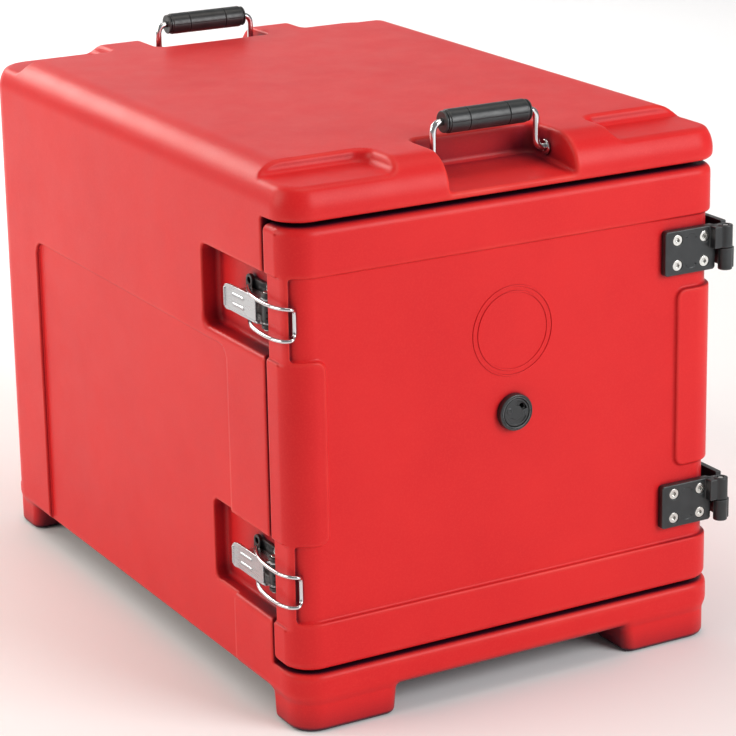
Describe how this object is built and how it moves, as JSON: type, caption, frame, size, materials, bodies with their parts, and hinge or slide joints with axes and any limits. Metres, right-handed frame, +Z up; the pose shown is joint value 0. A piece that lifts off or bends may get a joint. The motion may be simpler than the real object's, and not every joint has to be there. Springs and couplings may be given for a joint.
{
  "type": "insulated food carrier",
  "caption": "Front-loading insulated food carrier with a latched side-hinged door, fold-down carrying handles, stacking pockets and moulded feet.",
  "frame": {"origin": "middle of the bounding box at floor level, under the feet", "axes": "+Z up, -Y out of the door face, +X towards the hinge side"},
  "size_m": [0.4528, 0.6536, 0.5205],
  "materials": {
    "red_polyethylene": "satin, fine moulded texture",
    "insulating_foam": "cellular foam",
    "black_rubber": "matte",
    "black_plastic": "satin moulded",
    "stainless_steel": "bright drawn wire and brushed sheet"
  },
  "bodies": {
    "carrier_body": {"body_outer_shell": "red_polyethylene", "body_foam_core": "insulating_foam", "body_liner": "red_polyethylene", "upper_latch_base": "black_plastic", "lower_latch_base": "black_plastic", "upper_hinge_body_leaf": "black_plastic", "lower_hinge_body_leaf": "black_plastic", "upper_latch_pivot_pin": "stainless_steel", "lower_latch_pivot_pin": "stainless_steel", "front_handle_bush_left": "stainless_steel", "front_handle_bush_right": "stainless_steel", "rear_handle_bush_left": "stainless_steel", "rear_handle_bush_right": "stainless_steel", "upper_hinge_pin": "stainless_steel", "lower_hinge_pin": "stainless_steel", "upper_hinge_body_screw_1": "stainless_steel", "upper_hinge_body_screw_2": "stainless_steel", "lower_hinge_body_screw_1": "stainless_steel", "lower_hinge_body_screw_2": "stainless_steel", "upper_latch_screw_1": "stainless_steel", "upper_latch_screw_2": "stainless_steel", "lower_latch_screw_1": "stainless_steel", "lower_latch_screw_2": "stainless_steel"},
    "door": {"door_outer_shell": "red_polyethylene", "vent_housing": "black_plastic", "upper_hinge_door_leaf": "black_plastic", "lower_hinge_door_leaf": "black_plastic", "door_inner_panel": "red_polyethylene", "door_gasket": "black_rubber", "door_foam_core": "insulating_foam", "vent_seal": "black_rubber", "upper_hinge_door_screw_1": "stainless_steel", "upper_hinge_door_screw_2": "stainless_steel", "upper_hinge_door_screw_3": "stainless_steel", "upper_hinge_door_screw_4": "stainless_steel", "lower_hinge_door_screw_1": "stainless_steel", "lower_hinge_door_screw_2": "stainless_steel", "lower_hinge_door_screw_3": "stainless_steel", "lower_hinge_door_screw_4": "stainless_steel"},
    "vent_disc": {"vent_rotary_disc": "black_plastic"},
    "upper_latch_lever": {"upper_latch_lever": "stainless_steel"},
    "upper_latch_bail": {"upper_latch_bail": "stainless_steel"},
    "lower_latch_lever": {"lower_latch_lever": "stainless_steel"},
    "lower_latch_bail": {"lower_latch_bail": "stainless_steel"},
    "front_handle": {"front_handle_bail": "stainless_steel", "front_handle_grip": "black_plastic"},
    "rear_handle": {"rear_handle_bail": "stainless_steel", "rear_handle_grip": "black_plastic"}
  },
  "joints": [
    {"name": "door_hinge", "type": "hinge", "parent": "carrier_body", "child": "door", "pos_m": [0.2165, -0.32025, 0.2555], "axis": [0, 0, 1], "range_deg": [0, 180]},
    {"name": "vent_turn", "type": "hinge", "parent": "door", "child": "vent_disc", "pos_m": [0, -0.31325, 0.256], "axis": [0, 1, 0], "range_deg": [0, 90]},
    {"name": "upper_latch_open", "type": "hinge", "parent": "carrier_body", "child": "upper_latch_lever", "pos_m": [-0.211, -0.25925, 0.368], "axis": [0, 0, 1], "range_deg": [0, 100]},
    {"name": "upper_bail_swing", "type": "hinge", "parent": "upper_latch_lever", "child": "upper_latch_bail", "pos_m": [-0.211, -0.22525, 0.368], "axis": [0, 0, 1], "range_deg": [-132, 0]},
    {"name": "lower_latch_open", "type": "hinge", "parent": "carrier_body", "child": "lower_latch_lever", "pos_m": [-0.211, -0.25925, 0.132], "axis": [0, 0, 1], "range_deg": [0, 100]},
    {"name": "lower_bail_swing", "type": "hinge", "parent": "lower_latch_lever", "child": "lower_latch_bail", "pos_m": [-0.211, -0.22525, 0.132], "axis": [0, 0, 1], "range_deg": [-132, 0]},
    {"name": "front_handle_swing", "type": "hinge", "parent": "carrier_body", "child": "front_handle", "pos_m": [0, -0.26525, 0.475], "axis": [1, 0, 0], "range_deg": [-30, 85]},
    {"name": "rear_handle_swing", "type": "hinge", "parent": "carrier_body", "child": "rear_handle", "pos_m": [0, 0.27875, 0.475], "axis": [1, 0, 0], "range_deg": [-85, 30]}
  ],
  "couplings": [
    {"joint": "upper_bail_swing", "follows": "upper_latch_open", "ratio": -1.3},
    {"joint": "lower_bail_swing", "follows": "lower_latch_open", "ratio": -1.3}
  ]
}
